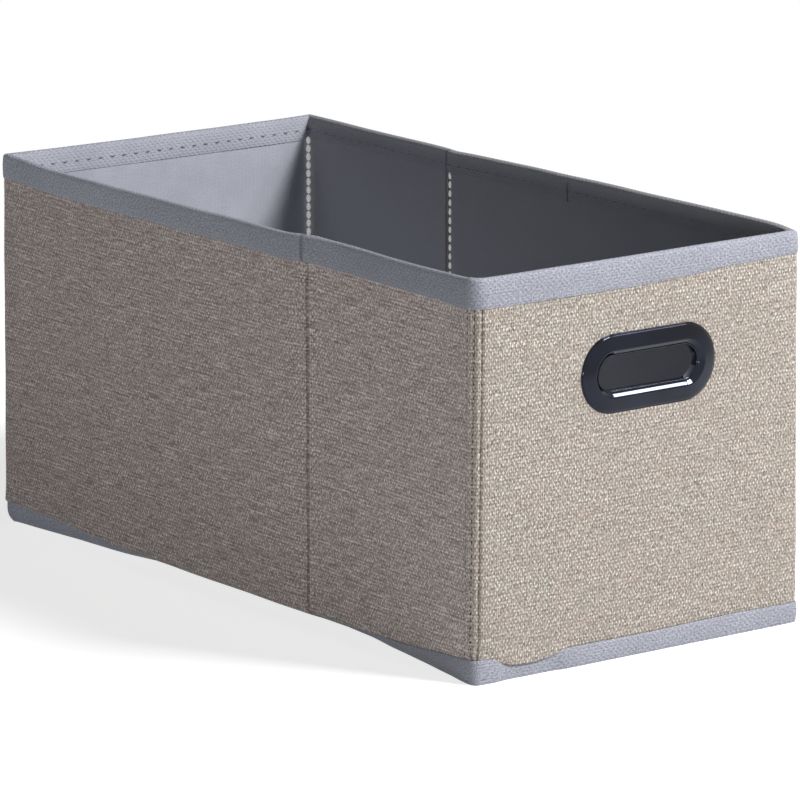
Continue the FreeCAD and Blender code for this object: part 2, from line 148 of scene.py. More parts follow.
def straight(wall, start, stop, step=2.6, marks=(), fine=0.7, reach=4.5):
    # stations on one wall from start to stop, closer near the marks
    way = 1 if stop > start else -1
    found, at = [(wall, start)], start
    while True:
        near = min((abs(at - m) for m in marks), default=1e9)
        at += way * (fine if near < reach else min(step, max(fine, near - reach + 0.3)) if near < 1e8 else step)
        if (at - stop) * way > -fine * 0.6:
            break
        found.append((wall, at))
    return found + [(wall, stop)]


def turn(wall, steps=7):
    return [(wall, None, k / steps) for k in range(1, steps)]


def mapPlace(station):
    # how far round the walls a station is; the front's left end is at one width
    wall, wide, long = station[0], binSize["halfWide"] * 2, binSize["halfLong"] * 2
    starts = {0: 0, 1: wide, 2: wide + long, 3: -long}
    if len(station) == 3:
        run = wide if wall in (0, 2) else long
        return starts[wall] + run + (station[2] - 0.5) * 2 * binSize["cornerRound"][wall]
    begin = wallEnds[wall][0] * halfRun(wall)
    return starts[wall] + abs(station[1] - begin)


def lean(station, z):
    # how far a point of the walls stands inside its flat wall
    wall, bend, bow = station[0], sway["curlBend"], 0
    at = placeOf(station)
    if len(station) == 3:
        curl = sway["rearCurl"] if wall == 1 else sway["cornerCurl"]
        bend = sway["endBend"] if wall == 1 else bend
    elif wall in (0, 2):
        side = at / binSize["halfWide"]
        near = sway["rearCurl"] if wall == 2 and side < 0 else sway["cornerCurl"]
        curl = sway["endCurl"] + (near - sway["endCurl"]) * max(abs(side) - 0.86, 0) / 0.14
        bend = sway["endBend"] if wall == 2 else bend
    else:
        curl = alongTable(sway["sideCurl" if wall == 1 else "farCurl"], at)
        bow = alongTable(sway["sideBow" if wall == 1 else "farBow"], at)
        if wall == 1:
            bend += (sway["endBend"] - bend) * max(0.0, min(1.0, (at - 80) / 60))
    height = max(0, 1 - z / sway["curlTop"]) ** bend
    share = min(z / binSize["rim"], 1)
    return (bow * (sway["footShare"] + (1 - sway["footShare"]) * share) + curl * height
            - straightTable(sway["splay"][wall], at) * (1 - share))


def nearRound(z):
    # the near corner is drawn tighter where the floor cloth holds it
    share = min(z / binSize["tightBelow"], 1)
    return binSize["cornerRound"][0] * (binSize["tightShare"] + (1 - binSize["tightShare"]) * share)


def ringPoint(station, depth, half=None, cornerRound=None):
    # place and outward direction of a station at a depth under the outermost face
    wide, long = half or (binSize["halfWide"], binSize["halfLong"])
    wall = station[0]
    corner = wall if len(station) == 3 or station[1] * wallEnds[wall][1] > 0 else (wall - 1) % 4
    outer = binSize["cornerRound"][corner] if cornerRound is None else cornerRound
    r = max(outer - depth, binSize["innerRound"])
    if len(station) == 3:
        sx, sy = cornerSigns[wall]
        (ax, ay), (bx, by) = outward[wall], outward[(wall + 1) % 4]
        angle = station[2] * math.pi / 2
        nx, ny = ax * math.cos(angle) + bx * math.sin(angle), ay * math.cos(angle) + by * math.sin(angle)
        return sx * (wide - depth - r) + nx * r, sy * (long - depth - r) + ny * r, nx, ny
    nx, ny = outward[wall]
    limit = (wide if wall in (0, 2) else long) - depth - r
    place = max(-limit, min(limit, station[1]))
    if wall in (0, 2):
        return place, ny * (long - depth), nx, ny
    return nx * (wide - depth), place, nx, ny


def rimDrop(station, z):
    # how much lower than the flat rim a point lies, all of it near the top
    return alongTable(sway["rimDrop"][station[0]], placeOf(station)) * (z / binSize["rim"]) ** 4


def wallPoint(station, depth, z):
    near = station[0] == 0 or station[0] == 1 and len(station) == 2 and station[1] < 0
    near = near and (len(station) == 3 or station[0] == 1 or station[1] < 0)
    x, y, nx, ny = ringPoint(station, depth, None, nearRound(z) if near else None)
    inset = lean(station, z)
    return Vector(((x - nx * inset) * mm, (y - ny * inset) * mm, (z - rimDrop(station, z)) * mm))


def addObject(name, data):
    piece = bpy.data.objects.new(name, data)
    bpy.context.collection.objects.link(piece)
    return piece


def finishMesh(name, vertices, faces, maps, material, sharp=38):
    mesh = bpy.data.meshes.new(name)
    mesh.from_pydata([tuple(v) for v in vertices], [], faces)
    layer = mesh.uv_layers.new(name="clothMap")
    for loop in mesh.loops:
        layer.data[loop.index].uv = maps[loop.vertex_index]
    mesh.polygons.foreach_set("use_smooth", [True] * len(mesh.polygons))
    mesh.set_sharp_from_angle(angle=math.radians(sharp))
    mesh.materials.append(material)
    mesh.update()
    return addObject(name, mesh)


def mendFaces(piece, loose=False, weld=False, turned=True):
    # drops loose corners, joins corners that meet, turns the faces outward
    bm = bmesh.new()
    bm.from_mesh(piece.data)
    if loose:
        bmesh.ops.delete(bm, geom=[v for v in bm.verts if not v.link_faces], context="VERTS")
    if weld:
        bmesh.ops.remove_doubles(bm, verts=bm.verts, dist=0.00001)
        bmesh.ops.dissolve_degenerate(bm, dist=0.00001, edges=bm.edges)
    if turned:
        bmesh.ops.recalc_face_normals(bm, faces=bm.faces)
    bm.to_mesh(piece.data)
    bm.free()


def sweepWall(name, stations, profile, material, hole=None):
    # a closed layer along the stations; profile gives the outer line and the inner line of (depth, height)
    vertices, maps, count = [], [], 0
    for station in stations:
        skin, back = profile(station)
        count = len(skin)
        place, run, before = mapPlace(station), skin[0][1], skin[0]
        rises = []
        for point in skin:
            run += math.dist(point, before)
            before = point
            rises.append(run)
        for line in (skin, back):
            for (depth, z), rise in zip(line, rises):
                vertices.append(wallPoint(station, depth, z))
                maps.append((place, rise))
    faces, gone = [], set()
    for j in range(len(stations) - 1):
        for i in range(count - 1):
            a, b = j * 2 * count + i, (j + 1) * 2 * count + i
            if hole and hole(sum((vertices[k] for k in (a, a + 1, b, b + 1)), Vector()) / 4):
                gone.add((j, i))
                continue
            faces.append((a, a + 1, b + 1, b))
            faces.append((b + count, b + 1 + count, a + 1 + count, a + count))
        a, b, top = j * 2 * count, (j + 1) * 2 * count, count - 1
        faces.append((a + count, a, b, b + count))
        faces.append((a + top, a + top + count, b + top + count, b + top))
    for j, i in gone:
        a, b = j * 2 * count + i, (j + 1) * 2 * count + i
        if (j + 1, i) not in gone:
            faces.append((b, b + count, b + 1 + count, b + 1))
        if (j - 1, i) not in gone:
            faces.append((a + 1, a + 1 + count, a + count, a))
        if (j, i + 1) not in gone:
            faces.append((a + 1 + count, a + 1, b + 1, b + 1 + count))
        if (j, i - 1) not in gone:
            faces.append((a, a + count, b + count, b))
    last = (len(stations) - 1) * 2 * count
    for i in range(count - 1):
        faces.append((i, i + count, i + 1 + count, i + 1))
        k = last + i
        faces.append((k + 1, k + 1 + count, k + count, k))
    piece = finishMesh(name, vertices, faces, maps, material)
    if hole:
        mendFaces(piece, loose=True, turned=False)
    return piece


# materials: small helpers, then the effects that several materials share

def colour(red, green, blue):
    # a screen colour from 0 to 255, as Blender's linear one
    return tuple(pow((c / 255 + 0.055) / 1.055, 2.4) if c > 10 else c / 3294 for c in (red, green, blue)) + (1,)


def made(tree, kind, inputs=(), **settings):
    # the outputs of a new node; its inputs are values or sockets, in their order or by name
    node = tree.nodes.new(kind)
    for key, value in settings.items():
        setattr(node, key, value)
    for key, value in inputs.items() if isinstance(inputs, dict) else enumerate(inputs):
        if isinstance(value, bpy.types.NodeSocket):
            tree.links.new(value, node.inputs[key])
        else:
            node.inputs[key].default_value = value
    return node.outputs


def maths(tree, operation, *values):
    return made(tree, "ShaderNodeMath", values, operation=operation)[0]


def times(tree, first, second):
    return maths(tree, "MULTIPLY", first, second)


def plus(tree, first, second):
    return maths(tree, "ADD", first, second)


def minus(tree, first, second):
    return maths(tree, "SUBTRACT", first, second)


def timesPlus(tree, value, factor, more):
    return maths(tree, "MULTIPLY_ADD", value, factor, more)


def vectorMaths(tree, operation, *values):
    return made(tree, "ShaderNodeVectorMath", values, operation=operation)[0]


def scaled(tree, vector, x, y, z=1.0):
    return vectorMaths(tree, "MULTIPLY", vector, (x, y, z))


def mixColour(tree, share, first, second, blend="MIX"):
    return made(tree, "ShaderNodeMix", {0: share, 6: first, 7: second}, data_type="RGBA", blend_type=blend)[2]


def spread(tree, value, low, high, toLow=0.0, toHigh=1.0):
    limits = (value, low, high, toLow, toHigh)
    return made(tree, "ShaderNodeMapRange", limits, interpolation_type="SMOOTHSTEP")[0]


def splitAxes(tree, vector):
    return made(tree, "ShaderNodeSeparateXYZ", (vector,))


def chanceAt(tree, x, y):
    # a fixed random value for each whole pair of numbers
    pair = made(tree, "ShaderNodeCombineXYZ", (x, y))[0]
    return made(tree, "ShaderNodeTexWhiteNoise", {"Vector": pair}, noise_dimensions="2D")[0]


def grain(tree, vector, scale, detail=2.0, rough=0.5, output=0):
    inputs = {"Vector": vector, "Scale": scale, "Detail": detail, "Roughness": rough}
    return made(tree, "ShaderNodeTexNoise", inputs)[output]


def clothPlace(tree):
    return made(tree, "ShaderNodeUVMap", uv_map="clothMap")[0]


def objectPlace(tree):
    return made(tree, "ShaderNodeTexCoord")["Object"]


def seenDirectly(tree):
    # 1 for the rays that carry the white background
    rays = made(tree, "ShaderNodeLightPath")
    return maths(tree, "MAXIMUM", rays["Is Camera Ray"],
                 maths(tree, "MAXIMUM", rays["Is Glossy Ray"], rays["Is Transmission Ray"]))


def newGroup(name, inputs, outputs):
    group = bpy.data.node_groups.new(name, "ShaderNodeTree")
    group.interface.new_socket("Place", in_out="INPUT", socket_type="NodeSocketVector")
    for label, value in inputs.items():
        group.interface.new_socket(label, in_out="INPUT", socket_type="NodeSocketFloat").default_value = value
    for label in outputs:
        group.interface.new_socket(label, in_out="OUTPUT", socket_type="NodeSocketFloat")
    return group, made(group, "NodeGroupInput")


def weaveGroup():
    # Plain weave of uneven yarns: where one shows a gap, how light each yarn is, and its height. Only the
    # upright yarns rise and have a tone of their own; where a level one lies on top the cloth is flat and darker.
    group, given = newGroup("slubWeave", {"Across": 0.8, "Up": 1.3, "Wobble": 0.5}, ["Gap", "Yarn", "Height"])
    wander = grain(group, scaled(group, given["Place"], 0.3, 0.3), 1.0, output=1)
    off = vectorMaths(group, "SUBTRACT", wander, (0.5, 0.5, 0.5))
    wobble = made(group, "ShaderNodeVectorMath", {0: off, "Scale": given["Wobble"]}, operation="SCALE")[0]
    place = vectorMaths(group, "ADD", given["Place"], wobble)
    parts = splitAxes(group, place)
    across, up = maths(group, "DIVIDE", parts[0], given["Across"]), maths(group, "DIVIDE", parts[1], given["Up"])
    roundAcross, roundUp = (maths(group, "ABSOLUTE", maths(group, "SINE", times(group, value, math.pi)))
                            for value in (across, up))
    cell = plus(group, maths(group, "FLOOR", across), maths(group, "FLOOR", up))
    warpOver = minus(group, 1.0, maths(group, "FLOORED_MODULO", cell, 2.0))
    height = times(group, warpOver, times(group, roundAcross, timesPlus(group, roundUp, 0.6, 0.4)))
    # a gap at each crossing of the yarns, some of them closed
    corner = times(group, minus(group, 1.0, roundAcross), minus(group, 1.0, roundUp))
    chance = chanceAt(group, maths(group, "ROUND", across), maths(group, "ROUND", up))
    # each float of a yarn over its neighbour has its own tone
    fleck = chanceAt(group, maths(group, "FLOOR", across), maths(group, "FLOOR", up))
    patchy = grain(group, scaled(group, place, 0.5, 0.5), 1.0, 3.0)
    open = times(group, spread(group, chance, 0.0, 0.9, 0.1, 1.0), spread(group, patchy, 0.3, 0.6, 0.5, 1.0))
    gap = times(group, spread(group, corner, 0.02, 0.3), open)
    pits = spread(group, grain(group, scaled(group, place, 0.95, 0.7, 3.0), 1.3, 1.5, 0.6), 0.56, 0.66)
    gap = maths(group, "MAXIMUM", gap, times(group, pits, 0.7))
    # lighter and darker stretches of single upright yarns
    tone = times(group, warpOver, grain(group, scaled(group, place, 1.2, 0.12), 1.0, 3.0, 0.6))
    hair = grain(group, scaled(group, place, 2.6, 2.6), 1.0, 2.0)
    own = timesPlus(group, fleck, 0.5, -0.25)
    crown = timesPlus(group, height, 0.5, -0.25)
    blotch = grain(group, scaled(group, place, 0.85, 0.7), 1.0, 1.5, 0.6)
    yarn = plus(group, plus(group, spread(group, tone, 0.2, 0.8, 0.2, 0.8), own),
                plus(group, timesPlus(group, blotch, 3.6, -1.8), crown))
    made(group, "NodeGroupOutput", {"Gap": gap, "Yarn": yarn, "Height": timesPlus(group, hair, 0.25, height)})
    return group


def pressedGroup():
    # bonded fibre cloth with rows of small pressed spots, every second row shifted half a pitch
    group, given = newGroup("pressedSpots", {"Across": 2.3, "Up": 1.0, "Width": 0.3, "Tall": 0.3, "Skew": 0.0},
                            ["Spot", "Fibre", "Height"])
    parts = splitAxes(group, given["Place"])
    row = maths(group, "DIVIDE", parts[1], given["Up"])
    shift = times(group, maths(group, "FLOORED_MODULO", maths(group, "FLOOR", row), 2.0), 0.5)
    slope = times(group, parts[1], given["Skew"])
    column = plus(group, maths(group, "DIVIDE", plus(group, parts[0], slope), given["Across"]), shift)
    squares = []
    for value, size in ((column, given["Width"]), (row, given["Tall"])):
        off = maths(group, "DIVIDE", minus(group, maths(group, "FRACT", value), 0.5), size)
        squares.append(times(group, off, off))
    away = maths(group, "SQRT", plus(group, *squares))
    spot = spread(group, away, 0.45, 1.2, 1.0, 0.0)
    fibre = grain(group, scaled(group, given["Place"], 1.05, 1.6), 1.0, 2.5, 0.65)
    worn = spread(group, grain(group, scaled(group, given["Place"], 0.35, 0.35), 1.0, 2.0), 0.3, 0.65, 0.35, 1.0)
    made(group, "NodeGroupOutput", {"Spot": times(group, spot, worn), "Fibre": fibre,
                                    "Height": timesPlus(group, fibre, 0.5, times(group, spot, -0.7))})
    return group


def emptyTree(owner):
    owner.use_nodes = True
    owner.node_tree.nodes.clear()
    return owner.node_tree


def newMaterial(name):
    material = bpy.data.materials.new(name)
    return material, emptyTree(material)


def finishLook(material, height, rise, strength=1.0, **sockets):
    # gives a material its relief, and its surface with the sockets that are named
    tree = material.node_tree
    normal = made(tree, "ShaderNodeBump", {"Height": height, "Distance": rise, "Strength": strength})[0]
    inputs = {key.replace("_", " "): value for key, value in sockets.items()}
    surface = made(tree, "ShaderNodeBsdfPrincipled", {**inputs, "Normal": normal})[0]
    made(tree, "ShaderNodeOutputMaterial", (surface,))
    return material


def foldShade(tree, place, folds, wide):
    # painted shade in the fold lines, each at a place of the wall map
    along = splitAxes(tree, place)[0]
    away = [maths(tree, "ABSOLUTE", minus(tree, along, fold)) for fold in folds]
    return spread(tree, maths(tree, "MINIMUM", *away), wide * 0.35, wide, 1.0, 0.0)


def linenCloth(weave):
    # side is painted shade: a cooler tone multiplied onto the sides
    tones = {"light": colour(255, 250, 241), "middle": colour(184, 171, 160), "gap": colour(98, 88, 83),
             "side": colour(253, 248, 255), "across": 0.82, "up": 1.3, "rise": 0.25 * mm,
             "folds": (252.0, -204.0)}
    material, tree = newMaterial("linenCloth")
    place = clothPlace(tree)
    yarns = {"Place": place, "Across": tones["across"], "Up": tones["up"], "Wobble": 0.9}
    woven = made(tree, "ShaderNodeGroup", yarns, node_tree=weave)
    base = mixColour(tree, woven["Yarn"], tones["middle"], tones["light"])
    broad = spread(tree, grain(tree, scaled(tree, place, 0.012, 0.2), 1.0, 4.0, 0.6), 0.32, 0.68, 0.0, 0.3)
    base = mixColour(tree, broad, base, colour(190, 177, 165))
    tint = grain(tree, scaled(tree, place, 0.07, 0.1, 1.0), 1.0, 3.0, 0.6)
    base = mixColour(tree, 0.22, base, mixColour(tree, spread(tree, tint, 0.35, 0.65), colour(196, 170, 164),
                                                 colour(170, 176, 164)), "MULTIPLY")
    # long pale and dark threads, and on the sides painted shade: a cooler tone painted in to suit the lamps
    along = splitAxes(tree, place)[0]
    sideShadeAndThreads = plus(tree, spread(tree, along, 150, 156), spread(tree, along, -2, 0, 1, 0))
    base = mixColour(tree, sideShadeAndThreads, base, tones["side"], "MULTIPLY")
    thread = grain(tree, scaled(tree, place, 0.09, 1.0), 1.0, 3.0, 0.6)
    strength = timesPlus(tree, sideShadeAndThreads, 0.3, 0.2)
    pale = times(tree, spread(tree, thread, 0.54, 0.68), strength)
    base = mixColour(tree, pale, base, tones["light"])
    deep = times(tree, spread(tree, thread, 0.34, 0.46, 1, 0), strength)
    base = mixColour(tree, deep, base, tones["gap"])
    final = mixColour(tree, woven["Gap"], base, tones["gap"])
    # painted shade in the linen's fold lines
    paintedFoldShade = times(tree, foldShade(tree, place, tones["folds"], 1.1), 0.4)
    final = mixColour(tree, paintedFoldShade, final, tones["gap"])
    return finishLook(material, woven["Height"], tones["rise"], Base_Color=final, Roughness=0.92,
                      Sheen_Weight=0.15, Sheen_Roughness=0.6)


def pressedCloth(name, pressed, tones, spots):
    material, tree = newMaterial(name)
    place = clothPlace(tree)
    marked = made(tree, "ShaderNodeGroup", {"Place": place, **spots}, node_tree=pressed)
    cloud = grain(tree, scaled(tree, place, 0.06, 0.06), 1.0, 3.0)
    base = mixColour(tree, spread(tree, cloud, 0.3, 0.7), tones["low"], tones["high"])
    mottle = spread(tree, marked["Fibre"], 0.36, 0.64, 0.0, tones["mottle"])
    along, rise = splitAxes(tree, place)[:2]
    depth = tones["depth"]
    if "cleanAbove" in tones:
        # mottling and spots are weaker on the side turned into the bin
        clean = (tones["cleanAbove"], tones["cleanAbove"] + 2)
        mottle = times(tree, mottle, spread(tree, rise, *clean, 1.0, 0.4))
        depth = spread(tree, rise, *clean, depth, depth * 0.3)
    base = mixColour(tree, mottle, base, tones["fibre"])
    if "cornerShadeShare" in tones:
        # painted shade on the side by the near corner, fading along it: the lamps alone leave it too light
        side = times(tree, spread(tree, along, 150, 156), spread(tree, along, 160, 420, 1, 0))
        base = mixColour(tree, times(tree, side, tones["cornerShadeShare"]), base, tones["cornerShadeTone"])
    # painted shade on the right side: the lamps alone leave it too light
    right = times(tree, spread(tree, along, -1, 1, 1, 0), tones["rightShadeShare"])
    base = mixColour(tree, right, base, tones["rightShadeTone"])
    final = mixColour(tree, times(tree, marked["Spot"], depth), base, tones["spot"])
    # painted shade in the fold lines
    shade = times(tree, foldShade(tree, place, tones["folds"], tones["foldWide"]), 0.6)
    final = mixColour(tree, shade, final, tones["foldShadeTone"])
    return finishLook(material, marked["Height"], tones["rise"], Base_Color=final, Roughness=tones["rough"],
                      Sheen_Weight=0.1, Sheen_Roughness=0.5)


def threadMaterial(name, light, dark, paintedGlow=0.0):
    # twisted thread; paintedGlow is painted light, a little light of its own
    material, tree = newMaterial(name)
    waves = {"Vector": objectPlace(tree), "Scale": 900}
    twist = made(tree, "ShaderNodeTexWave", waves, wave_type="BANDS", bands_direction="DIAGONAL")[1]
    tone = mixColour(tree, twist, dark, light)
    glow = {"Emission_Color": tone, "Emission_Strength": paintedGlow} if paintedGlow else {}
    return finishLook(material, twist, 0.05 * mm, Base_Color=tone, Roughness=0.7, **glow)


def boardMaterial():
    # grey pressed paper board
    material, tree = newMaterial("greyBoard")
    place = objectPlace(tree)
    fleck = grain(tree, place, 900.0, 4.0, 0.7)
    cloud = grain(tree, place, 60.0, 3.0)
    base = mixColour(tree, spread(tree, cloud, 0.3, 0.7), colour(148, 138, 122), colour(168, 158, 141))
    tone = mixColour(tree, spread(tree, fleck, 0.55, 0.75), base, colour(112, 102, 90))
    return finishLook(material, fleck, 0.08 * mm, Base_Color=tone, Roughness=0.85)


def polishedMetal(name, scale, tones, rough, rise, cloudy=False, **coat):
    # metal with faint polishing marks, which also rough it
    material, tree = newMaterial(name)
    place = objectPlace(tree)
    marks = grain(tree, scaled(tree, place, *scale), 1.0, 4.0, 0.65)
    cloud = grain(tree, place, 45.0, 2.0) if cloudy else marks
    return finishLook(material, marks, rise, 0.5, Metallic=1.0, Roughness=spread(tree, marks, 0.2, 0.8, *rough),
                      Base_Color=mixColour(tree, spread(tree, cloud, 0.3, 0.7), *tones), **coat)


print("materials")
weave = weaveGroup()
pressed = pressedGroup()
linen = linenCloth(weave)
trimCloth = pressedCloth("trimCloth", pressed, {
    "low": colour(183, 185, 197), "high": colour(193, 195, 206), "fibre": colour(122, 124, 136), "mottle": 0.75,
    "spot": colour(122, 124, 138), "depth": 0.3, "rough": 0.88, "rise": 0.16 * mm, "cleanAbove": 151.0,
    "cornerShadeShare": 0.45, "cornerShadeTone": colour(94, 95, 99), "rightShadeShare": 0.75, "rightShadeTone": colour(150, 150, 151),
    "folds": (254.2, -208.4), "foldWide": 1.1, "foldShadeTone": colour(90, 92, 100)},
    {"Across": 2.3, "Up": 1.15, "Width": 0.26, "Tall": 0.36})
liningCloth = pressedCloth("liningCloth", pressed, {
    "low": colour(176, 179, 189), "high": colour(187, 190, 200), "fibre": colour(160, 163, 173), "mottle": 0.3,
    "spot": colour(150, 153, 161), "depth": 0.08, "rough": 0.85, "rise": 0.04 * mm,
    "rightShadeShare": 0.85, "rightShadeTone": colour(158, 158, 160),
    "folds": (247.6, -208.4), "foldWide": 2.2, "foldShadeTone": colour(90, 92, 100)},
    {"Across": 1.9, "Up": 0.95, "Width": 0.42, "Tall": 0.42, "Skew": 0.95})
# the white thread has a painted glow, a little light of its own
whiteThread = threadMaterial("whiteThread", colour(244, 244, 240), colour(214, 214, 209), 0.35)
greyThread = threadMaterial("greyThread", colour(128, 130, 143), colour(102, 104, 118))
softThread = threadMaterial("softThread", colour(160, 162, 174), colour(132, 134, 148))
# dark forms for the holes and the seam's line: painted shade in them
needleHoleShade = threadMaterial("needleHoleShade", colour(66, 58, 50), colour(48, 42, 36))
seamLineShade = threadMaterial("seamLineShade", colour(128, 114, 101), colour(100, 88, 78))
greyBoard = boardMaterial()
# the ring's dark navy colour is painted reflection: the dark surroundings that the polished metal mirrors
ringMetal = polishedMetal("polishedRing", (260, 260, 1400), (colour(11, 15, 28), colour(20, 26, 44)), (0.05, 0.14),
                          0.01 * mm, True, Coat_Weight=0.5, Coat_Roughness=0.03)
washerFinish = polishedMetal("washerMetal", (500, 500, 2600), (colour(150, 152, 156), colour(176, 178, 182)),
                             (0.25, 0.4), 0.02 * mm)


# the five lengths that every wall layer is cut into, each crossing one joint
print("wall layers")
cuts = {"frontBreak": 66.0, "leftMid": -100.0, "leftLong": 48.0, "rightMid": -48.0, "openEnd": 149.3}
halfWide, halfLong, crease = binSize["halfWide"], binSize["halfLong"], binSize["crease"]
cornerGap = 5.8
wideFlat, longFlat = halfWide - cornerGap, halfLong - cornerGap
seamMarks = (-wideFlat + 1, -66.5, -34.0)

lengths = {
    "front": straight(0, cuts["frontBreak"], -wideFlat, marks=seamMarks, fine=0.5) + turn(0, 30)
             + straight(1, -longFlat, cuts["leftMid"], marks=(-longFlat, -142, -131), fine=0.5),
    "left": straight(1, cuts["leftMid"], cuts["leftLong"], marks=(-crease + 1.5,), fine=0.35),
    "rear": straight(1, cuts["leftLong"], longFlat, marks=(longFlat,)) + turn(1)
            + straight(2, -wideFlat, wideFlat, marks=(-wideFlat, wideFlat)) + turn(2)
            + [(3, 151.2), (3, 150.3), (3, cuts["openEnd"] + 0.1)],
    "right": straight(3, cuts["rightMid"], -longFlat, marks=(-longFlat,)) + turn(3)
             + straight(0, wideFlat, cuts["frontBreak"], marks=(wideFlat,)),
    "far": straight(3, cuts["openEnd"], cuts["rightMid"], marks=(crease, -5, -19), fine=0.35),
}
# which CAD bodies a length stands for, so that each CAD node is replaced once
standsFor = {"front": ["front_end"], "left": ["left_front"], "rear": ["left_rear", "rear_end"],
             "right": ["right_front"], "far": ["right_rear"]}


def bendAtJoint(piece):
    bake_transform(piece)


def wallCloth(name, node, length, profile, material, hole=None):
    # one layer of a length: its mesh and the CAD nodes it replaces
    cloth = sweepWall(name + "_" + length, lengths[length], profile, material, hole)
    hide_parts(*[body + node for body in standsFor[length]])
    bendAtJoint(cloth)
    return cloth


def moveWith(piece, slot, body, *nodes):
    # a piece that moves with one body
    if nodes:
        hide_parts(*nodes)
    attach(piece, body)


def levels(low, high, step, extra=()):
    count = max(2, round((high - low) / step))
    found = [low + (high - low) * k / count for k in range(count + 1)]
    return sorted(set(found) | {e for e in extra if low < e < high})


linenSize = {
    "depth": 0.3, "thick": 0.7, "top": 147.4, "step": 2.6, "puff": 0.22, "puffLength": 24.0,
    # over which heights the foot flares and the top settles, and how far the foot flares in or out
    "footHigh": 9.0, "topLow": 12.0, "flareIn": 0.4, "flareOut": 0.35, "edgeRound": 0.3,
    "frontFoot": [(-75, 8.8), (-68, 8.7), (-65.5, 8.3), (-63, 7.1), (-60, 5.9), (-55, 5.2), (-50, 5.0),
                  (-45, 5.3), (-40, 6.1), (-36, 7.0), (-32, 7.4), (0, 7.2), (30, 7.6), (45, 7.8), (75, 7.4)],
    "sideFoot": [(-153, 8.9), (-145, 8.5), (-137, 8.0), (-127, 7.4), (-118, 6.8), (-110, 6.3), (-91, 5.9),
                 (-66, 5.6), (-56, 5.1), (-50, 5.0), (-25, 4.7), (20, 4.2), (48, 4.4), (70, 5.6), (100, 6.8),
                 (125, 8.2), (153, 8.8)],
    "farFoot": [(-153, 7.5), (-120, 7.2), (-60, 5.6), (40, 5.0), (110, 6.5), (153, 8.8)],
    "cornerFoot": {0: 8.8, 1: 8.8, 2: 8.8, 3: 7.5},
    # where the linen hangs over the hem: on the front, and from where on the left and the right side
    "sunk": (-66.5, -34.0), "sideSunk": -98.0, "farSunk": -134.0, "sunkSlope": 0.4, "sunkFar": 20.0,
    # (how far round the corner from the front, how deep, how wide) of the line and the two rows of holes
    "seamRows": [(1.7, 0.42, 0.9), (5.0, 0.32, 1.0), (8.1, 0.3, 1.0)], "seamSlant": 2.0,
    "seamPuff": (6.6, 0.45, 2.2),
    "foldAt": -51.0, "foldDeep": 0.9, "foldWide": 0.8, "foldLip": 0.2, "cut": 139.0,
}
hemSize = {"out": 0.02, "under": 0.75, "thick": 0.45, "lap": 0.3, "sunkLap": 3.7, "tuck": 11.5, "foot": 0.04,
           "belly": 0.25, "ripple": 0.12, "rippleLength": 9.0, "cut": 12.0,
           "shares": (0, 0.03, 0.1, 0.2, 0.3, 0.4, 0.5, 0.6, 0.7, 0.8, 0.9, 0.96, 1)}


def linenFoot(station):
    wall = station[0]
    if len(station) == 3:
        return linenSize["cornerFoot"][wall]
    if wall == 2:
        return linenSize["cornerFoot"][2]
    return straightTable(linenSize[("frontFoot", "sideFoot", "", "farFoot")[wall]], station[1])


def easeStep(at, start, end):
    share = max(0.0, min(1.0, (at - start) / (end - start)))
    return share * share * (3 - 2 * share)


def sunkInto(station):
    # how far (mm) a station lies inside a stretch where the linen hangs over the hem; below 0 outside it
    wall, far = station[0], linenSize["sunkFar"]
    if len(station) == 3:
        return far if wall == 1 else -far
    if wall == 2:
        return far
    if wall == 0:
        low, high = linenSize["sunk"]
        return min(station[1] - low, high - station[1])
    return (station[1] - linenSize["sideSunk" if wall == 1 else "farSunk"]) * linenSize["sunkSlope"]


def foldGroove(station):
    # how deep the cloth is pulled in at a fold line, and the small lip beside it
    at, fold = sidePlace(station), linenSize["foldAt"]
    if at is None:
        return 0.0
    return (linenSize["foldDeep"] * bump(at, fold, linenSize["foldWide"])
            - linenSize["foldLip"] * bump(at, fold - 1.3, 1.2))


def aroundCorner(station):
    # how far a station lies round the near corner, from where the front's flat ends; None elsewhere
    r = binSize["cornerRound"][0]
    if station[0] == 0:
        return r * math.pi / 2 * station[2] if len(station) == 3 else -(station[1] + halfWide - r)
    return r * math.pi / 2 + station[1] + halfLong - r if station[0] == 1 and len(station) == 2 else None


def cornerStation(run):
    # the station that lies so far round the near corner
    r = binSize["cornerRound"][0]
    arc = r * math.pi / 2
    if run < 0:
        return (0, r - halfWide - run)
    return (0, None, run / arc) if run <= arc else (1, run - arc - halfLong + r)


def seamSlant(z):
    return linenSize["seamSlant"] * (1 - z / linenSize["top"])


def seamGroove(station, z):
    # the cloth is pulled in along the seam and its rows of holes
    run = aroundCorner(station)
    if run is None or not -3 < run < 15:
        return 0.0
    at, rise, wide = linenSize["seamPuff"]
    return (sum(deep * bump(run - seamSlant(z), at, wide) for at, deep, wide in linenSize["seamRows"])
            - rise * bump(run - seamSlant(z), at, wide))


def linenProfile(station):
    foot, proud = linenFoot(station), 1 - easeStep(sunkInto(station), -1.5, 1.5)
    place = mapPlace(station)
    skin, back = [], []
    groove = foldGroove(station)
    for share in levels(0, 1, linenSize["step"] / linenSize["top"], (0.004, 0.012)):
        z = foot + (linenSize["top"] - foot) * share
        low = max(0.0, 1 - (z - foot) / linenSize["footHigh"])
        puff = drift(place / linenSize["puffLength"], z / linenSize["puffLength"], 0.0)
        inside = min(1.0, (linenSize["top"] - z) / linenSize["topLow"])
        depth = linenSize["depth"] - puff * linenSize["puff"] * inside + (groove + seamGroove(station, z)) * inside
        depth += low * low * (linenSize["flareIn"] * proud - linenSize["flareOut"] * (1 - proud))
        skin.append((depth + max(0.0, linenSize["edgeRound"] - (z - foot)) * 0.8, z))
        back.append((depth + linenSize["thick"], z))
    return skin, back


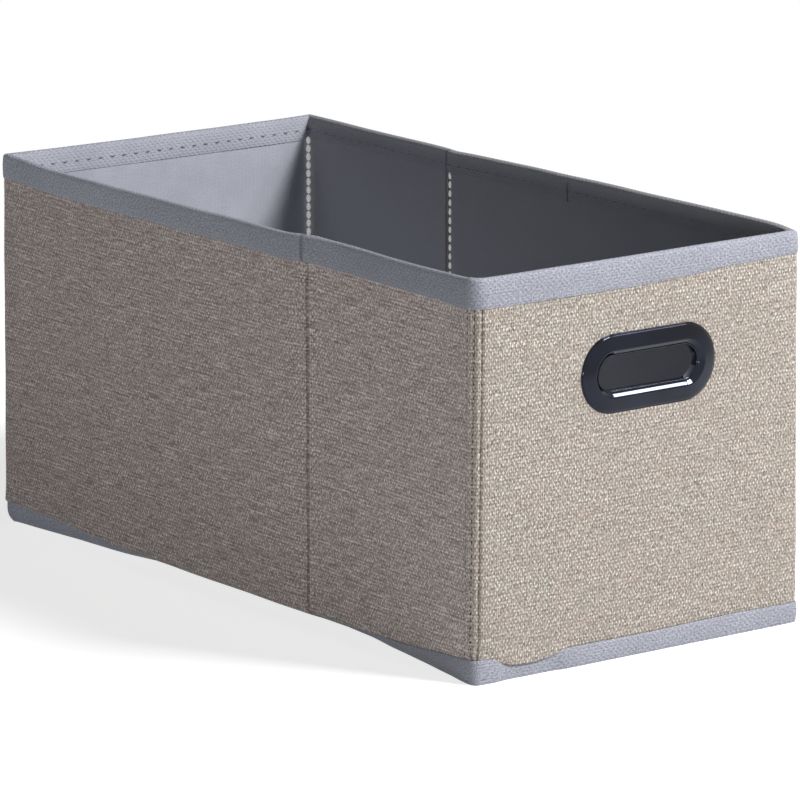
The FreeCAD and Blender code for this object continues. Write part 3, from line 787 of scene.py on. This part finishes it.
def hemProfile(station):
    proud = 1 - easeStep(sunkInto(station), 0.5, 7.0)
    full = hemSize["under"] + (hemSize["out"] - hemSize["under"]) * proud
    foot = hemSize["foot"]
    top = min(hemSize["tuck"], linenFoot(station) + hemSize["lap"] + hemSize["sunkLap"] * (1 - proud))
    groove, long = foldGroove(station) * sway["hemShare"], hemSize["rippleLength"]
    skin, back = [], []
    for share in hemSize["shares"]:
        z = foot + (top - foot) * share
        edge = 0.2 * bump(share, 1, 0.06) + 0.1 * bump(share, 0, 0.05)
        depth = hemSize["under"] * (1 - min(1, share * 2)) * 0.2 * (1 - proud) + full
        belly = -hemSize["belly"] * math.sin(math.pi * share) * proud
        ripple = drift(mapPlace(station) / long, z / long, 3.0) * hemSize["ripple"]
        skin.append((depth + edge + belly + ripple + groove, z))
        back.append((depth + hemSize["thick"] + groove + 0.1, z))
    return skin, back


ringLow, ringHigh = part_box("grip_ring")
gripHole = {"x": (ringLow.x + ringHigh.x) / 2, "z": (ringLow.z + ringHigh.z) / 2,
            "halfStraight": 16.5 * mm, "reach": 9.9 * mm, "behind": -140 * mm}


def insideGrip(point):
    x, z = point.x - gripHole["x"], point.z - gripHole["z"]
    x = max(abs(x) - gripHole["halfStraight"], 0)
    return point.y < gripHole["behind"] and math.hypot(x, z) < gripHole["reach"]


for length in lengths:
    cloth = wallCloth("outerLinen", "_outer_cloth", length, linenProfile, linen,
                      hole=insideGrip if length == "front" else None)
    wallCloth("bottomHem", "_bottom_hem", length, hemProfile, trimCloth)


liningSize = {"depth": 2.65, "thick": 0.4, "top": 147.2, "step": 3.0, "puff": 0.18, "puffLength": 30.0,
              "topLow": 14.0, "foldAt": -55.4, "foldDeep": 1.3, "foldWide": 1.7, "cut": 144.0}


def liningProfile(station):
    skin, back = [], []
    place, at, fold = mapPlace(station), sidePlace(station), 0.0
    if at is not None:
        fold = liningSize["foldDeep"] * bump(at, liningSize["foldAt"], liningSize["foldWide"])
    for z in levels(binSize["clothFoot"], liningSize["top"], liningSize["step"]):
        inside = min(1.0, (liningSize["top"] - z) / liningSize["topLow"])
        puff = drift(place / liningSize["puffLength"], z / liningSize["puffLength"], 8.0)
        depth = liningSize["depth"] + (puff * liningSize["puff"] - fold) * inside
        skin.append((depth, z))
        back.append((depth + liningSize["thick"], z))
    return skin, back


for length in lengths:
    wallCloth("liningCloth", "_lining", length, liningProfile, liningCloth,
              hole=insideGrip if length == "front" else None)


# rim binding, one folded tape over the wall's top edge
bindingSize = {
    "drop": {0: [(-75, 11.2), (0, 11.3), (25, 10.4), (40, 9.2), (75, 8.7)],
             1: [(-153, 11.2), (-120, 10.5), (-60, 10.3), (-30, 9.8), (153, 9.6)],
             2: [(-75, 9.6), (75, 10)], 3: [(-153, 8.7), (-120, 9.6), (153, 10)]},
    "inDrop": 10.0, "cut": 24.0, "tape": 0.42, "wall": 3.4, "topRound": 1.55, "wave": 0.12, "foldOff": 4.2,
    "joinFrom": -19.0, "joinTo": -5.0, "joinRise": 0.45, "sag": 0.25, "bellyOut": 0.22, "bellyIn": 0.2,
    "faceSteps": 6, "roundSteps": 8,
}


def bindingProfile(station):
    top, wall, r = binSize["rim"], bindingSize["wall"], bindingSize["topRound"]
    place, at = mapPlace(station), sidePlace(station)
    low = top - straightTable(bindingSize["drop"][station[0]], placeOf(station))
    lowIn, join = top - bindingSize["inDrop"], 0.0
    if len(station) == 2 and station[0] == 3:
        join = bindingSize["joinRise"] if bindingSize["joinFrom"] < station[1] < bindingSize["joinTo"] else 0.0
    fold = 0.0 if at is None else bump(at, -crease + bindingSize["foldOff"], 0.9) * 0.5
    sag = drift(place / 26.0, 0.5, 2.0) * bindingSize["sag"]
    wave = drift(place / 7.0, 4.0, 2.0) * bindingSize["wave"]
    skin = [(0.32, low + wave - 0.02), (0.1, low + wave + 0.05), (0.0, low + wave + 0.35)]
    faceSteps, roundSteps = bindingSize["faceSteps"], bindingSize["roundSteps"]
    for k in range(1, faceSteps):
        share = k / faceSteps
        pinch = fold * 0.9 * math.sin(math.pi * min(1.0, share * 1.1))
        belly = -bindingSize["bellyOut"] * math.sin(math.pi * share) + 0.1 * drift(place / 11.0, share * 2, 6.0)
        skin.append((belly + pinch, low + (top - r - low) * share))
    for k in range(roundSteps + 1):
        angle = math.pi * k / roundSteps
        skin.append((wall / 2 - wall / 2 * math.cos(angle), top - r + r * math.sin(angle) ** 0.8 + sag * 0.6))
    for k in range(1, faceSteps):
        share = 1 - k / faceSteps
        belly = -bindingSize["bellyIn"] * math.sin(math.pi * share)
        skin.append((wall - belly + join, lowIn + (top - r - lowIn) * share))
    skin += [(wall + join, lowIn + wave + 0.3), (wall - 0.1 + join, lowIn + wave), (wall - 0.3, lowIn + wave - 0.03)]
    tape, back = bindingSize["tape"], []
    for depth, z in skin:
        if z < top - r - 0.01 or depth < 0.05 or depth > wall - 0.05:
            back.append((0.03 + tape if depth < wall / 2 else wall - tape - 0.03, min(z, top - r)))
        else:
            share = (depth - wall / 2) / (wall / 2)
            back.append((wall / 2 + share * (wall / 2 - tape), top - r + max(0, z - (top - r) - tape)))
    return skin, back


for length in lengths:
    wallCloth("rimBinding", "_rim_binding", length, bindingProfile, trimCloth)


# stiff boards, one for each body, between cloth and lining
print("boards")
boardSize = {"outer": 1.12, "inner": 2.58, "sideFoot": 7.2, "endFoot": 4.4, "top": 147.5, "step": 3.0}
boardPlaces = {
    "front_end": (0, 70.9, -70.9), "rear_end": (2, -70.9, 70.9),
    "left_front": (1, -146.1, -55.2), "left_rear": (1, -50.8, 146.1),
    "right_front": (3, 50.8, -146.1), "right_rear": (3, 146.1, 55.2),
}


def boardProfile(station):
    foot = boardSize["endFoot"] if station[0] in (0, 2) else boardSize["sideFoot"]
    rise = levels(foot, boardSize["top"], boardSize["step"])
    return [(boardSize["outer"], z) for z in rise], [(boardSize["inner"], z) for z in rise]


for body, (wall, start, stop) in boardPlaces.items():
    hole = insideGrip if body == "front_end" else None
    stations = straight(wall, start, stop, step=boardSize["step"])
    board = sweepWall("stiffBoard_" + body, stations, boardProfile, greyBoard, hole)
    moveWith(board, "board", body, body + "_board")


# floor cloth with its turned-up edge, and the loose base board's sleeve
print("floor")
traySize = {
    "cut": (150.0, 306.0),
    "skin": [(6.0, 0.02), (3.0, 0.02), (1.7, 0.06), (1.3, 0.35), (1.3, 0.9), (1.3, 1.6), (1.3, 2.4), (1.3, 3.1),
             (1.4, 3.52)],
    "back": [(6.0, 0.6), (3.2, 0.6), (2.4, 0.64), (1.9, 0.85), (1.8, 1.25), (1.8, 1.8), (2.0, 2.5), (2.5, 3.1),
             (3.0, 3.52)],
}
sleeveSize = {"cornerRound": 3.0, "pucker": 0.12, "puckerLength": 16.0, "edgeRound": 1.3, "leastThick": 0.12,
              "full": 0.98, "depths": (45.0, 30.0, 18.0, 9.0, 4.0, 2.0, 1.3, 0.8, 0.4, 0.15, 0.02)}


def wholeRound():
    found = []
    for wall in range(4):
        start, stop = (sign * (halfRun(wall) - cornerGap) for sign in wallEnds[wall])
        found += straight(wall, start, stop, step=3.0, marks=(start, stop)) + turn(wall, 6)
    return found


flatMap = 800.0  # flat faces lie beside the walls' map


def closeRings(name, rings, material, places=None):
    # rings of points, from the middle of one face, round the edge, to the middle of the other face
    count = len(rings[0])
    vertices = [point for ring in rings for point in ring]
    faces = []
    for j in range(len(rings) - 1):
        for i in range(count):
            a, b = j * count + i, j * count + (i + 1) % count
            faces.append((a, a + count, b + count, b))
    faces.append(tuple(range(count)))
    faces.append(tuple(reversed(range((len(rings) - 1) * count, len(rings) * count))))
    maps = [(v.x / mm + flatMap, v.y / mm) for v in vertices]
    piece = finishMesh(name, vertices, faces, maps, material)
    if places:
        # steep faces follow the walls' map, so that the pattern isn't drawn out on them
        layer, whole = piece.data.uv_layers["clothMap"], 4 * (halfWide + halfLong)
        for face in piece.data.polygons:
            if abs(face.normal.z) < 0.7:
                found = [places[piece.data.loops[k].vertex_index % count] for k in face.loop_indices]
                turned = max(found) - min(found) > whole / 2
                for k, place in zip(face.loop_indices, found):
                    rise = vertices[piece.data.loops[k].vertex_index].z / mm
                    layer.data[k].uv = (place + (whole if turned and place < 0 else 0), rise)
    mendFaces(piece, weld=True)
    return piece


around = wholeRound()
trayRings = [[wallPoint(station, depth, z) for station in around] for depth, z in traySize["skin"]]
trayRings += [[wallPoint(station, depth, z) for station in around] for depth, z in reversed(traySize["back"])]
tray = closeRings("floorCloth", trayRings, trimCloth, [mapPlace(station) for station in around])
moveWith(tray, "trim", "front_end", "bottom_panel")

sleeveLow, sleeveHigh = (Vector(c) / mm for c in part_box("base_board_cover"))
sleeveHalf, sleeveMid = (sleeveHigh.x, sleeveHigh.y), (sleeveLow.z + sleeveHigh.z) / 2
sleeveThick = (sleeveHigh.z - sleeveLow.z) / 2


def sleevePoint(station, depth, side):
    x, y = ringPoint(station, depth, sleeveHalf, sleeveSize["cornerRound"])[:2]
    long = sleeveSize["puckerLength"]
    ripple = drift(x / long, y / long, side * 5.0) * sleeveSize["pucker"] * min(1, depth / 3)
    share = math.sqrt(max(0.0, 1 - (1 - min(depth / sleeveSize["edgeRound"], 1)) ** 2))
    rise = sleeveThick * max(share, sleeveSize["leastThick"]) * sleeveSize["full"] + ripple * 0.5
    return Vector((x * mm, y * mm, (sleeveMid + side * rise) * mm))


depths = sleeveSize["depths"]
sleeveRings = [[sleevePoint(station, depth, -1) for station in around] for depth in depths]
sleeveRings += [[sleevePoint(station, depth, 1) for station in around] for depth in reversed(depths)]
sleeve = closeRings("boardSleeve", sleeveRings, liningCloth)
moveWith(sleeve, "lining", "base_board", "base_board_cover")


# the ridge of the front's left seam
print("seams and stitches")
ridgeSize = {"foot": 9.8, "top": 138.0, "pitch": 2.6, "pinch": 0.1,
             "bulge": [(2.35, 0.0), (2.6, 0.2), (3.0, 0.36), (3.5, 0.42), (4.0, 0.34), (4.35, 0.16), (4.6, 0.0)]}


def seamRidge():
    # a welt round the near corner, between the seam's line and the first row of holes
    vertices, maps, faces = [], [], []
    heights, across = levels(ridgeSize["foot"], ridgeSize["top"], 1.3), len(ridgeSize["bulge"])
    for z in heights:
        pull = ridgeSize["pinch"] * (0.5 + 0.5 * math.cos(2 * math.pi * z / ridgeSize["pitch"]))
        for back in (0, 1):
            for run, rise in ridgeSize["bulge"]:
                station = cornerStation(run + seamSlant(z))
                depth = linenSize["depth"] + 0.1
                depth += 0.35 if back else -rise + (pull if rise > 0.05 else 0)
                vertices.append(wallPoint(station, depth, z))
                maps.append((mapPlace(station), z))
    width = across * 2
    order = list(range(across)) + list(range(width - 1, across - 1, -1))
    for j in range(len(heights) - 1):
        for k in range(width):
            a, b = order[k], order[(k + 1) % width]
            faces.append((j * width + a, (j + 1) * width + a, (j + 1) * width + b, j * width + b))
    faces.append(tuple(order))
    faces.append(tuple(reversed([(len(heights) - 1) * width + k for k in order])))
    piece = finishMesh("seamRidge", vertices, faces, maps, linen, 60)
    mendFaces(piece)
    return piece


ridge = seamRidge()
moveWith(ridge, "linen", "front_end", "front_seam_ridge")


# stitches, beads and needle holes, by one tree of nodes that sets a small form along a line
def stitchTree():
    tree = bpy.data.node_groups.new("stitchRow", "GeometryNodeTree")
    face = tree.interface
    face.new_socket("Line", in_out="INPUT", socket_type="NodeSocketGeometry")
    for label, value in (("Pitch", 0.0028), ("Length", 0.0008), ("Girth", 0.0003), ("Flat", 0.5),
                         ("Unevenness", 0.15)):
        face.new_socket(label, in_out="INPUT", socket_type="NodeSocketFloat").default_value = value
    face.new_socket("Seed", in_out="INPUT", socket_type="NodeSocketInt").default_value = 4
    face.new_socket("Thread", in_out="INPUT", socket_type="NodeSocketMaterial")
    face.new_socket("Stitches", in_out="OUTPUT", socket_type="NodeSocketGeometry")
    given = made(tree, "NodeGroupInput")
    line = made(tree, "GeometryNodeMeshToCurve", (given["Line"],))[0]
    spacing = {"Curve": line, "Length": given["Pitch"]}
    spaced = made(tree, "GeometryNodeResampleCurve", spacing, mode="LENGTH")[0]
    form = made(tree, "GeometryNodeMeshIcoSphere", {"Radius": 0.5, "Subdivisions": 2})[0]
    deep = times(tree, given["Girth"], given["Flat"])
    size = made(tree, "ShaderNodeCombineXYZ", (given["Length"], given["Girth"], deep))[0]
    limits = {2: minus(tree, 1.0, given["Unevenness"]), 3: 1.0, "Seed": given["Seed"]}
    uneven = made(tree, "FunctionNodeRandomValue", limits, data_type="FLOAT")[1]
    grown = made(tree, "ShaderNodeVectorMath", {0: size, "Scale": uneven}, operation="SCALE")[0]
    tangent = made(tree, "GeometryNodeInputTangent")[0]
    along = made(tree, "FunctionNodeAlignRotationToVector", {"Vector": tangent}, axis="X")[0]
    placed = made(tree, "GeometryNodeInstanceOnPoints",
                  {"Points": spaced, "Instance": form, "Rotation": along, "Scale": grown})[0]
    real = made(tree, "GeometryNodeRealizeInstances", (placed,))[0]
    coated = made(tree, "GeometryNodeSetMaterial", {"Geometry": real, "Material": given["Thread"]})[0]
    made(tree, "NodeGroupOutput", (coated,))
    return tree


stitches = stitchTree()


def sewLine(name, line, material, pitch, length, girth, flat=0.6, uneven=0.15, seed=4):
    # a line of points in metres becomes a row of small forms
    mesh = bpy.data.meshes.new(name + "Line")
    mesh.from_pydata([tuple(point) for point in line], [(k, k + 1) for k in range(len(line) - 1)], [])
    guide = addObject(name + "Guide", mesh)
    modifier = guide.modifiers.new("stitchRow", "NODES")
    modifier.node_group = stitches
    wanted = {"Pitch": pitch * mm, "Length": length * mm, "Girth": girth * mm, "Flat": flat,
              "Unevenness": uneven, "Seed": seed, "Thread": material}
    for item in stitches.interface.items_tree:
        if item.in_out == "INPUT" and item.name in wanted:
            modifier[item.identifier] = wanted[item.name]
    shown = guide.evaluated_get(bpy.context.evaluated_depsgraph_get())
    row = bpy.data.meshes.new_from_object(shown)
    row.name = name
    bpy.data.objects.remove(guide)
    row.polygons.foreach_set("use_smooth", [True] * len(row.polygons))
    return addObject(name, row)


stitchSize = {"below": 5.8, "pitch": 5.6, "outLength": 1.6, "outGirth": 0.48, "outDepth": -0.2,
              "inLength": 2.3, "rearGirth": 0.8, "inGirth": 0.56, "inProud": 0.3}

for length in lengths:
    low, rear = binSize["rim"] - stitchSize["below"], length == "rear"
    outer = [wallPoint(s, stitchSize["outDepth"], low) for s in lengths[length]]
    inner = [wallPoint(s, bindingSize["wall"] + stitchSize["inProud"], low) for s in lengths[length] if len(s) == 2]
    for name, line, thread, long, girth in (
            ("bindingStitch_", outer, softThread, stitchSize["outLength"], stitchSize["outGirth"]),
            ("innerStitch_", inner, greyThread if rear else softThread, stitchSize["inLength"],
             stitchSize["rearGirth" if rear else "inGirth"])):
        row = sewLine(name + length, line, thread, stitchSize["pitch"], long, girth)
        bendAtJoint(row)


def upright(x, y, low, high, step=2.0):
    return [Vector((x * mm, y * mm, z * mm)) for z in levels(low, high, step)]


# two rows of needle holes beside the near corner, and white thread in the rear right corner and right crease
holeSize = {"pitch": 2.6, "length": 1.15, "seamLength": 2.5, "girth": 0.8, "low": 10.5, "high": 137.0}


def holeRow(run):
    line = []
    for z in levels(holeSize["low"], holeSize["high"], 2.0):
        station = cornerStation(run + seamSlant(z))
        line.append(wallPoint(station, linenSize["depth"] + seamGroove(station, z), z))
    return line


# the seam's line and the holes are dark forms: painted shade in them
for number, row in enumerate(linenSize["seamRows"]):
    long = holeSize["seamLength"] if number == 0 else holeSize["length"]
    holes = sewLine("needleHoles_" + str(number), holeRow(row[0]), needleHoleShade if number else seamLineShade,
                    holeSize["pitch"], long, holeSize["girth"], 0.6, 0.35, 7 + number)
    moveWith(holes, "linen", "front_end")

inset = liningSize["depth"] + liningSize["thick"]
beadHeights = (8.0, 138.4)
# body, place in x and y, then pitch, length, girth, flatness, unevenness and seed
beadRows = {
    "cornerBeads": ("rear_end", halfWide - inset - 0.9, halfLong - inset - 0.9, (3.35, 3.3, 1.9, 0.9, 0.06, 5)),
    "creaseBeads": ("right_front", halfWide - inset - 1.4, crease + 0.2, (3.6, 3.0, 1.2, 0.9, 0.1, 6)),
}
for name, (body, x, y, form) in beadRows.items():
    beads = sewLine(name, upright(x, y, *beadHeights), whiteThread, *form)
    moveWith(beads, "trim", body)


# the grip's pressed eyelet: flange, rolled lip and crimp, swept round the slot
print("grip")
eyeletSize = {
    "halfStraight": gripHole["halfStraight"] / mm, "seat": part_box("front_end_outer_cloth")[0].y / mm, "sheet": 0.5,
    # (distance from the slot's middle line, height over the cloth), from the flange's edge to the crimp
    "section": [(14.2, 0.02), (14.25, 0.3), (14.2, 0.75), (14.05, 1.0), (13.8, 1.12), (13.0, 1.3), (12.0, 1.54),
                (11.0, 1.75), (10.0, 1.94), (9.3, 2.07), (9.0, 2.13), (8.78, 2.13), (8.6, 2.04), (8.3, 1.83),
                (7.9, 1.55), (7.5, 1.27), (7.2, 1.06), (7.0, 0.85), (6.86, 0.55), (6.8, 0.1), (6.8, -1.0),
                (6.8, -2.4), (6.88, -2.9), (7.1, -3.3), (7.5, -3.6), (8.1, -3.75), (9.2, -3.7)],
}


def gripEyelet():
    cx, cz = gripHole["x"] / mm, gripHole["z"] / mm
    half, seat, arc, run = eyeletSize["halfStraight"], eyeletSize["seat"], 40, 14
    spots = []
    for side in (1, -1):
        spots += [(side * (half - 2 * half * k / run), side, 90) for k in range(run)]
        spots += [(-side * half, side, 90 + 180 * k / arc) for k in range(arc)]
    front = eyeletSize["section"]
    back = []
    for k, (r, h) in enumerate(front):
        (r0, h0), (r1, h1) = front[max(k - 1, 0)], front[min(k + 1, len(front) - 1)]
        long = math.hypot(r1 - r0, h1 - h0)
        # the sheet's other face lies away from the slot and towards the cloth
        back.append((r - (h1 - h0) / long * -eyeletSize["sheet"] if k else r - 0.5,
                     h - (r0 - r1) / long * eyeletSize["sheet"] if k else 0.02))
    section = front + back[::-1]
    vertices, maps, faces, width = [], [], [], len(section)
    for along, side, angle in spots:
        turned = math.radians(angle)
        for r, h in section:
            x = along + r * math.cos(turned) * side
            z = r * math.sin(turned) * side
            vertices.append(Vector(((cx + x) * mm, (seat - h) * mm, (cz + z) * mm)))
            maps.append((x, z))
    for j in range(len(spots)):
        for k in range(width):
            a, b = j * width, (j + 1) % len(spots) * width
            faces.append((a + k, b + k, b + (k + 1) % width, a + (k + 1) % width))
    piece = finishMesh("gripEyelet", vertices, faces, maps, ringMetal, 75)
    mendFaces(piece)
    return piece


eyelet = gripEyelet()
moveWith(eyelet, "ring", "front_end", "grip_ring")


# carried-over CAD nodes
for node, material in (("grip_washer", washerFinish), ("base_board", greyBoard)):
    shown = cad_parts[node]
    shown.data.materials.clear()
    shown.data.materials.append(material)


# floor, light and camera
print("studio")


def floorMaterial():
    # pale near the part, where it takes the shadow, and plain white further out, where only the view sees it
    material, tree = newMaterial("paleFloor")
    seen = seenDirectly(tree)
    matt = made(tree, "ShaderNodeBsdfDiffuse", ((0.62, 0.62, 0.62, 1),))[0]
    glow = made(tree, "ShaderNodeEmission", ((1, 1, 1, 1), times(tree, seen, 0.74)))[0]
    both = made(tree, "ShaderNodeAddShader", (matt, glow))[0]
    white = made(tree, "ShaderNodeEmission")[0]
    far = made(tree, "ShaderNodeVectorMath", (objectPlace(tree),), operation="LENGTH")["Value"]
    share = times(tree, seen, spread(tree, far, 0.3, 0.9))
    whole = made(tree, "ShaderNodeMixShader", (share, both, white))[0]
    made(tree, "ShaderNodeOutputMaterial", (whole,))
    return material


floorMesh = bpy.data.meshes.new("studioFloor")
reach = 6.0
floorMesh.from_pydata([(-reach, -reach, 0), (reach, -reach, 0), (reach, reach, 0), (-reach, reach, 0)], [],
                      [(0, 1, 2, 3)])
floorMesh.materials.append(floorMaterial())
studioFloor = addObject("studioFloor", floorMesh)

world = bpy.data.worlds.new("studio")
bpy.context.scene.world = world
sky = emptyTree(world)
# a weak warm light on the part, and plain white where the world is seen directly
soft = made(sky, "ShaderNodeBackground", ((1.0, 0.98, 0.95, 1), 0.014))[0]
plain = made(sky, "ShaderNodeBackground", ((1, 1, 1, 1), 1.0))[0]
either = made(sky, "ShaderNodeMixShader", (seenDirectly(sky), soft, plain))[0]
made(sky, "ShaderNodeOutputWorld", (either,))


def softLamp(name, toward, distance, width, height, power, tint):
    light = bpy.data.lights.new(name, "AREA")
    light.shape, light.size, light.size_y = "RECTANGLE", width, height
    light.energy, light.color = power, tint
    lamp = addObject(name, light)
    way = Vector(toward).normalized()
    lamp.location = way * distance + Vector((0, 0, 0.07))
    lamp.rotation_mode = "QUATERNION"
    lamp.rotation_quaternion = (-way).to_track_quat("-Z", "Y")


# name, where it stands from the part, distance, width, height, power and colour
for lamp in (("keyLamp", (0.42, -0.75, 0.8), 1.7, 0.4, 0.3, 29.5, (1, 1, 1)),
             ("sideLamp", (-1.0, -0.3, 0.04), 1.6, 0.9, 0.14, 6.8, (0.95, 0.98, 1.0)),
             ("glintLamp", (0.583, -0.522, 0.621), 1.7, 0.3, 0.09, 3.6, (1, 1, 1))):
    softLamp(*lamp)

view = {"yaw": 36.781, "pitch": 12.969, "roll": -0.088, "place": (-1.3376, -1.7973, 0.5831), "lens": 269.8}
camera = addObject("camera", bpy.data.cameras.new("camera"))
camera.data.lens, camera.data.sensor_width = view["lens"], 36.0
camera.data.clip_end = 50
yaw, pitch = math.radians(view["yaw"]), math.radians(view["pitch"])
ahead = Vector((math.sin(yaw) * math.cos(pitch), math.cos(yaw) * math.cos(pitch), -math.sin(pitch)))
camera.rotation_mode = "QUATERNION"
camera.rotation_quaternion = (ahead.to_track_quat("-Z", "Y")
                              @ Quaternion((0, 0, 1), math.radians(view["roll"])))
camera.location = view["place"]
bpy.context.scene.camera = camera
bpy.context.scene.view_settings.view_transform = "Standard"

print("done")
